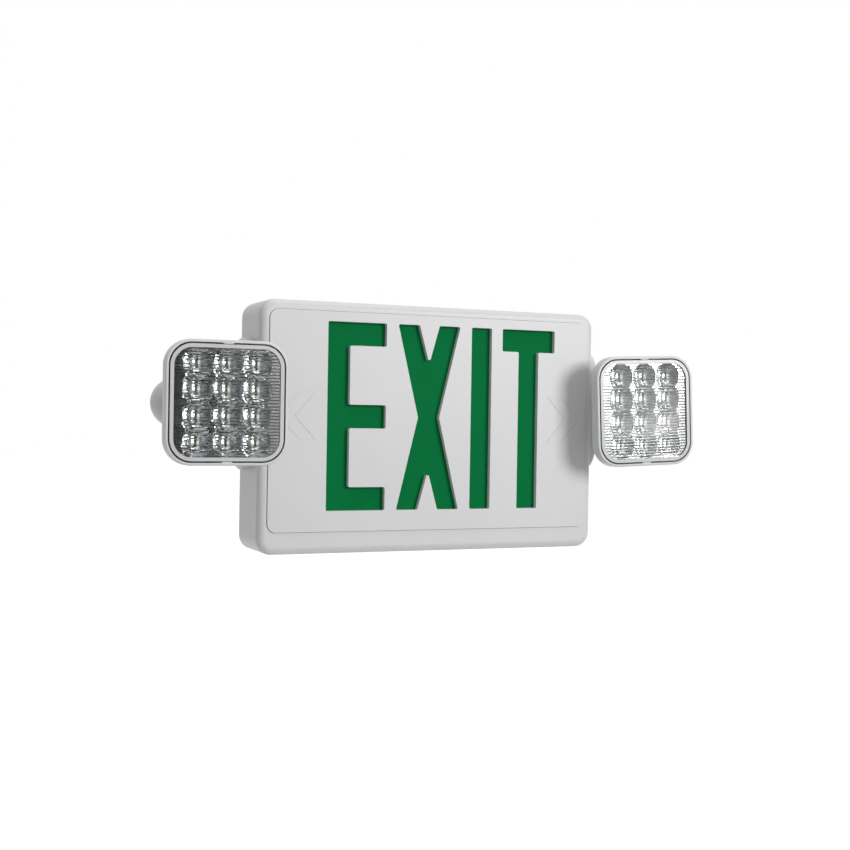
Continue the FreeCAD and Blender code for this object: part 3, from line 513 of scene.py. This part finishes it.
def letter_outlines(s):
    """Outlines of the four letters, in the order in which they are read."""
    low, high, w = -s.letter_bottom, s.letter_top, s.stroke
    mid = (low + high) / 2
    e_left, e_right = -0.0951, -0.0446
    x_left, x_right = -0.0344, 0.0216
    x_mid, waist, notch = (x_left + x_right) / 2, 0.0095, 0.032
    i_left, i_right = 0.0322, 0.0510
    t_left, t_right = 0.0612, 0.1114
    # the stem of the T stands a hair left of its bar's middle
    t_mid = (t_left + t_right) / 2 - 0.0001
    return [
        [(e_left, low), (e_right, low), (e_right, low + w), (e_left + w, low + w), (e_left + w, mid - w / 2),
         (e_right, mid - w / 2), (e_right, mid + w / 2), (e_left + w, mid + w / 2), (e_left + w, high - w),
         (e_right, high - w), (e_right, high), (e_left, high)],
        [(x_left, high), (x_left + w, high), (x_mid, high - notch), (x_right - w, high), (x_right, high),
         (x_mid + waist, mid), (x_right, low), (x_right - w, low), (x_mid, low + notch), (x_left + w, low),
         (x_left, low), (x_mid - waist, mid)],
        rectangle(i_left, i_right, low, high),
        [(t_left, high), (t_left, high - w), (t_mid - w / 2, high - w), (t_mid - w / 2, low),
         (t_mid + w / 2, low), (t_mid + w / 2, high - w), (t_right, high - w), (t_right, high)],
    ]


def chevron_outline(sign):
    points = [(0.118, 0.0284), (0.137, 0.0094), (0.118, -0.0096), (0.1052, -0.0096), (0.1225, 0.0094),
              (0.1052, 0.0284)]
    return [(x * sign, z) for x, z in points]


class OBJECT_OT_exit_face_plate(bpy.types.Operator):
    """Builds the stencilled face plate with its four letters and two unbroken knock-outs"""
    bl_idname = "object.exit_face_plate"
    bl_label = "Face plate"

    def execute(self, context):
        s = context.scene.exit_light_sizes
        low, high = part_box("face_plate")
        outline = rounded(rectangle(low.x, high.x, low.z, high.z), s.plate_corner, 8)
        plate = prism("face_plate_stencil", outline, low.y, high.y)
        for letter in letter_outlines(s):
            hole = prism("letter_hole", rounded(letter, s.letter_corner, 3),
                         low.y - 2 * REACH, high.y + 2 * REACH)
            combine(plate, hole)
        soften(plate, s.plate_edge)
        for sign in SIDES.values():
            outline = chevron_outline(sign)
            score = prism("score", widened(outline, s.score_width / 2), low.y - REACH, low.y + s.score_depth)
            core = prism("core", widened(outline, -s.score_width / 2), low.y - 2 * REACH, low.y + 2 * REACH)
            combine(plate, combine(score, core))
        smooth(plate)
        dress(plate, "root", FINISHES["face_white"])
        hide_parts("face_plate")
        return {"FINISHED"}


# lamp heads

def square_about(middle, half):
    return rectangle(middle.x - half, middle.x + half, middle.z - half, middle.z + half)


def rib_profile(s, rise, inside, valley, steps=6):
    """Depth and height along the waves of the level ribs, which fill the height evenly."""
    count = round(2 * inside / s.rib_pitch)
    pitch = 2 * inside / count
    lifts = [(1 - math.cos(2 * math.pi * k / steps)) / 2 for k in range(count * steps + 1)]
    return [(valley + s.rib_height * lift, rise - inside + pitch * k / steps) for k, lift in enumerate(lifts)]


class OBJECT_OT_exit_lenses(bpy.types.Operator):
    """Builds the clear lamp covers with the fine level ribs inside them"""
    bl_idname = "object.exit_lenses"
    bl_label = "Clear covers"

    def execute(self, context):
        s = context.scene.exit_light_sizes
        low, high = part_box("head_lens_left")
        half = (high.x - low.x) / 2
        for side in SIDES:
            middle = head_middle(side)
            front, back = low.y, high.y

            def block(name, shrink, low_y, high_y, gap=0.0):
                """A block with the cover's outline moved inwards, and a gap more or less of it."""
                outline = square_about(middle, half - shrink - gap)
                return prism(name, rounded(outline, s.lens_corner - shrink, 8), low_y, high_y)

            cover = block(f"lens_cover_{side}", 0, front, back)
            round_rim(cover, front, s.lens_round, 5)
            shrink = s.lens_wall + s.clear_border
            inside = half - shrink
            valley = front + s.lens_wall
            tips = valley + s.rib_height
            profile = rib_profile(s, middle.z, inside, valley)
            profile += [(tips + REACH, middle.z + inside), (tips + REACH, middle.z - inside)]
            grooves = prism("grooves", profile, middle.x - inside - REACH, middle.x + inside + REACH, "X")
            bound = block("bound", shrink, valley - REACH, tips + 2 * REACH)
            combine(cover, combine(grooves, bound, "INTERSECT"))
            combine(cover, block("hollow", s.lens_wall, tips, back + REACH))
            seat = block("seat", s.band_inset, front - REACH, front + 2 * s.band_depth)
            combine(cover, combine(seat, block("middle_cut", shrink, front - 2 * REACH, front + 2 * REACH)))
            band = block(f"cover_band_{side}", s.band_inset, front, front + s.band_depth, s.band_gap)
            combine(band, block("middle_cut", shrink, front - 2 * REACH, front + 2 * REACH, -s.band_gap))
            smooth(band)
            set_down(band, side)
            dress(band, f"head_{side}", FINISHES["clear_edge"])
            smooth(cover)
            set_down(cover, side)
            dress(cover, f"head_{side}", FINISHES["lens_clear"])
            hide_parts(f"head_lens_{side}")
        return {"FINISHED"}


class OBJECT_OT_exit_reflectors(bpy.types.Operator):
    """Builds the metallised cup plates: curved cups that meet at scalloped ridges"""
    bl_idname = "object.exit_reflectors"
    bl_label = "Cup plates"

    def execute(self, context):
        s = context.scene.exit_light_sizes
        low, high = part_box("head_reflector_left")
        front, back = low.y, high.y
        half = (high.x - low.x) / 2
        count = round(2 * half / s.cup_grid)
        middles = [((column - (CUP_COLUMNS - 1) / 2) * s.cup_width, (row - (CUP_ROWS - 1) / 2) * s.cup_height)
                   for column in range(CUP_COLUMNS) for row in range(CUP_ROWS)]
        last_row = max(z for _, z in middles)
        # the plate's back is drawn out past the deepest cup and then laid flat
        drawn = 4 * s.cup_depth

        def shaped(x, z):
            """Place and depth of a point of the plate; points near a cup's rim are drawn onto it."""
            cup_x, cup_z = min(middles, key=lambda m: math.hypot(x - m[0], z - m[1]))
            # the cups are tall ovals that run into each other, but for the round ends of each column
            tall = s.cup_radius if abs(z) > last_row else s.cup_reach
            out = math.hypot((x - cup_x) / s.cup_radius, (z - cup_z) / tall)
            if abs(out - 1) < s.cup_grid / 2 / s.cup_radius:
                x, z, out = cup_x + (x - cup_x) / out, cup_z + (z - cup_z) / out, 1.0
            return x, z, s.cup_depth * max(0.0, 1 - out ** 2)

        for side in SIDES:
            middle = head_middle(side)
            deselect()
            bpy.ops.mesh.primitive_grid_add(x_subdivisions=count, y_subdivisions=count, size=2 * half)
            plate = bpy.context.object
            plate.name = plate.data.name = f"cup_plate_{side}"
            for vertex in plate.data.vertices:
                x, z, deep = shaped(vertex.co.x, vertex.co.y)
                vertex.co = (middle.x + x, front + deep, middle.z + z)
            edit(plate, lambda: bpy.ops.mesh.extrude_region_move(
                TRANSFORM_OT_translate={"value": (0, drawn, 0)}))
            for vertex in plate.data.vertices:
                if vertex.co.y > front + drawn / 2:
                    vertex.co.y = back - s.cup_plate_gap
            edit(plate, outwards)
            outline = rounded(square_about(middle, half), s.cup_plate_corner, 6)
            combine(plate, prism("bound", outline, front - 10 * REACH, back + 10 * REACH), "INTERSECT")
            smooth(plate, 30)
            set_down(plate, side)
            dress(plate, f"head_{side}", FINISHES["reflector_bright"])
            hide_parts(f"head_reflector_{side}")
        return {"FINISHED"}


class OBJECT_OT_exit_tabs(bpy.types.Operator):
    """Adds the small clips that hold each clear cover at the top and the bottom of its rim"""
    bl_idname = "object.exit_tabs"
    bl_label = "Rim clips"

    def execute(self, context):
        s = context.scene.exit_light_sizes
        low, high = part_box("head_shell_left")
        half = (high.x - low.x) / 2
        for side in SIDES:
            middle = head_middle(side)
            clips = []
            for sign in (-1, 1):
                edge = middle.z + sign * (half - s.tab_inset)
                outline = rectangle(middle.x - s.tab_width / 2, middle.x + s.tab_width / 2,
                                    edge - s.tab_height / 2, edge + s.tab_height / 2)
                clips.append(prism("clip", rounded(outline, s.tab_corner, 3), low.y + s.tab_gap,
                                   low.y + s.tab_depth))
                soften(clips[-1], s.tab_edge)
            clip = joined(clips, f"rim_clips_{side}")
            smooth(clip)
            set_down(clip, side)
            dress(clip, f"head_{side}", FINISHES["housing_white"])
        return {"FINISHED"}


class OBJECT_OT_exit_finishes(bpy.types.Operator):
    """Gives every part that comes from the construction its finish"""
    bl_idname = "object.exit_finishes"
    bl_label = "Finishes"

    def execute(self, context):
        make_finishes(context.scene.exit_light_colours)
        for obj in frame["nodes"].values():
            for place in obj.material_slots:
                slot = place.material.name.split(".")[0]
                place.material = FINISHES[slot]
        return {"FINISHED"}


# studio

# levels that the cups and covers mirror, from the far left to the far right, and from below to above
SIDE_PANELS = ((0.0, 0.3), (0.285, 0.3), (0.31, 1.0), (0.455, 1.0), (0.48, 0.02), (0.625, 0.02), (0.645, 0.4),
               (0.70, 0.4), (0.72, 1.0), (0.83, 1.0), (0.86, 0.4), (1.0, 0.4))
PANEL_BAND = ((0.0, 0.05), (0.22, 0.1), (0.30, 1.0), (0.70, 1.0), (0.78, 0.2), (1.0, 0.2))
BEHIND = ((0.0, 0.0), (0.15, 1.0))
# light from all round on matt surfaces
AMBIENT = 0.39
# name, place, width and height, power
LAMPS = (("key_lamp", (1.45, -2.65, 0.74), (1.1, 1.1), 52), ("top_lamp", (0.1, -0.3, 1.8), (1.2, 1.2), 12))
CAMERA_PLACE = (-0.4393, -1.0406, 0.009)
# turn about the upright, tilt from level and roll, in degrees
CAMERA_TURN, CAMERA_TILT, CAMERA_ROLL = -23.56, -0.31, 0.9
CAMERA_LENS, CAMERA_SENSOR = 55.06, 36
FLOOR_SIZE, FLOOR_PLACE = 14, (0, 6.75, -0.5)
# the floor's own glow near the middle and far out, and where it changes
FLOOR_GLOW, FLOOR_FADE = (0.42, 0.75), (0.4, 1.2)


def area_lamp(name, place, size, power):
    """A soft lamp that points at the middle of the object."""
    bpy.ops.object.light_add(type="AREA", location=place)
    lamp = bpy.context.object
    lamp.name = lamp.data.name = name
    lamp.data.shape = "RECTANGLE"
    lamp.data.size, lamp.data.size_y = size
    lamp.data.energy = power
    lamp.rotation_euler = (-Vector(place)).to_track_quat("-Z", "Y").to_euler()


def paint_world(scene):
    """White behind the object; the cups see soft bright panels to both sides and a dim middle."""
    world = bpy.data.worlds.new("studio")
    scene.world = world
    tree = Tree(world)
    where = tree.add("ShaderNodeTexCoord").outputs["Generated"]
    split = tree.add("ShaderNodeSeparateXYZ")
    tree.link(where, split.inputs["Vector"])
    across = tree.figure("MULTIPLY_ADD", split.outputs["X"], 0.5, 0.5)
    level = tree.figure("MULTIPLY_ADD", split.outputs["Z"], 0.5, 0.5)
    front = tree.figure("MULTIPLY", tree.ramp(across, SIDE_PANELS), tree.ramp(level, PANEL_BAND))
    mirrored = tree.figure("MAXIMUM", front, tree.ramp(split.outputs["Y"], BEHIND))
    kind = tree.add("ShaderNodeLightPath")
    shiny = tree.figure("MAXIMUM", kind.outputs["Is Glossy Ray"], kind.outputs["Is Transmission Ray"])
    ambient = tree.add("ShaderNodeMix", data_type="FLOAT")
    ambient.inputs["A"].default_value = AMBIENT
    tree.link(shiny, ambient.inputs["Factor"])
    tree.link(mirrored, ambient.inputs["B"])
    seen = tree.figure("MAXIMUM", ambient.outputs["Result"], kind.outputs["Is Camera Ray"])
    light = tree.add("ShaderNodeBackground")
    light.inputs["Color"].default_value = (1, 1, 1, 1)
    tree.link(seen, light.inputs["Strength"])
    tree.end("World", light.outputs["Background"])


def floor_finish(tint):
    """Pale matt floor that looks white and keeps the object's shadow; its glow lights nothing matt."""
    material, tree, where = started("floor")
    matt = tree.add("ShaderNodeBsdfPrincipled")
    tree.link(tree.mixed(tree.noise(where, 40.0), scaled(tint, 0.99), tint), matt.inputs["Base Color"])
    matt.inputs["Roughness"].default_value = 0.9
    glow = tree.add("ShaderNodeEmission")
    kind = tree.add("ShaderNodeLightPath")
    seen = tree.figure("MAXIMUM", kind.outputs["Is Camera Ray"], kind.outputs["Is Glossy Ray"])
    seen = tree.figure("MAXIMUM", seen, kind.outputs["Is Transmission Ray"])
    far = tree.add("ShaderNodeVectorMath", operation="LENGTH")
    tree.link(where, far.inputs[0])
    fade = tree.ranged(far.outputs["Value"], *FLOOR_GLOW, *FLOOR_FADE)
    tree.link(tree.figure("MULTIPLY", seen, fade), glow.inputs["Strength"])
    total = tree.add("ShaderNodeAddShader")
    tree.link(matt.outputs["BSDF"], total.inputs[0])
    tree.link(glow.outputs["Emission"], total.inputs[1])
    tree.end("Material", total.outputs["Shader"])
    return material


class OBJECT_OT_exit_studio(bpy.types.Operator):
    """Sets up the floor, the lamps, the white surroundings and the camera"""
    bl_idname = "object.exit_studio"
    bl_label = "Studio"

    def execute(self, context):
        scene = context.scene
        scene.view_settings.view_transform = "Standard"
        deselect()
        bpy.ops.mesh.primitive_plane_add(size=FLOOR_SIZE, location=FLOOR_PLACE)
        floor = context.object
        floor.name = floor.data.name = "studio_floor"
        bpy.ops.object.transform_apply(location=True, rotation=True, scale=True)
        floor.data.materials.append(floor_finish(scene.exit_light_colours.floor))
        for lamp in LAMPS:
            area_lamp(*lamp)
        paint_world(scene)
        bpy.ops.object.camera_add(location=CAMERA_PLACE)
        camera = context.object
        camera.name = camera.data.name = "camera"
        camera.data.lens = CAMERA_LENS
        camera.data.sensor_width = CAMERA_SENSOR
        turn = (Matrix.Rotation(math.radians(CAMERA_TURN), 3, "Z")
                @ Matrix.Rotation(math.radians(90 + CAMERA_TILT), 3, "X")
                @ Matrix.Rotation(math.radians(CAMERA_ROLL), 3, "Z"))
        camera.rotation_euler = turn.to_euler()
        scene.camera = camera
        return {"FINISHED"}


class VIEW3D_PT_exit_light(bpy.types.Panel):
    """Sizes, colours and building steps of the exit light"""
    bl_idname = "VIEW3D_PT_exit_light"
    bl_label = "Exit light"
    bl_space_type = "VIEW_3D"
    bl_region_type = "UI"
    bl_category = "Exit light"

    def draw(self, context):
        layout = self.layout
        scene = context.scene
        for title, group in (("Sizes", scene.exit_light_sizes), ("Colours", scene.exit_light_colours)):
            box = layout.box()
            box.label(text=title)
            for name in group.__annotations__:
                box.prop(group, name)
        for step in STEPS:
            layout.operator(step.bl_idname)


STEPS = (OBJECT_OT_exit_finishes, OBJECT_OT_exit_face_plate, OBJECT_OT_exit_lenses, OBJECT_OT_exit_reflectors,
         OBJECT_OT_exit_tabs, OBJECT_OT_exit_studio)
CLASSES = (ExitLightSizes, ExitLightColours, *STEPS, VIEW3D_PT_exit_light)


def register():
    for item in CLASSES:
        bpy.utils.register_class(item)
    bpy.types.Scene.exit_light_sizes = bpy.props.PointerProperty(type=ExitLightSizes)
    bpy.types.Scene.exit_light_colours = bpy.props.PointerProperty(type=ExitLightColours)


def unregister():
    del bpy.types.Scene.exit_light_colours
    del bpy.types.Scene.exit_light_sizes
    for item in reversed(CLASSES):
        bpy.utils.unregister_class(item)


def main():
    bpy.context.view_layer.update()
    register()
    bpy.ops.object.exit_finishes()
    bpy.ops.object.exit_face_plate()
    bpy.ops.object.exit_lenses()
    bpy.ops.object.exit_reflectors()
    bpy.ops.object.exit_tabs()
    bpy.ops.object.exit_studio()


if __name__ == "__main__":
    main()
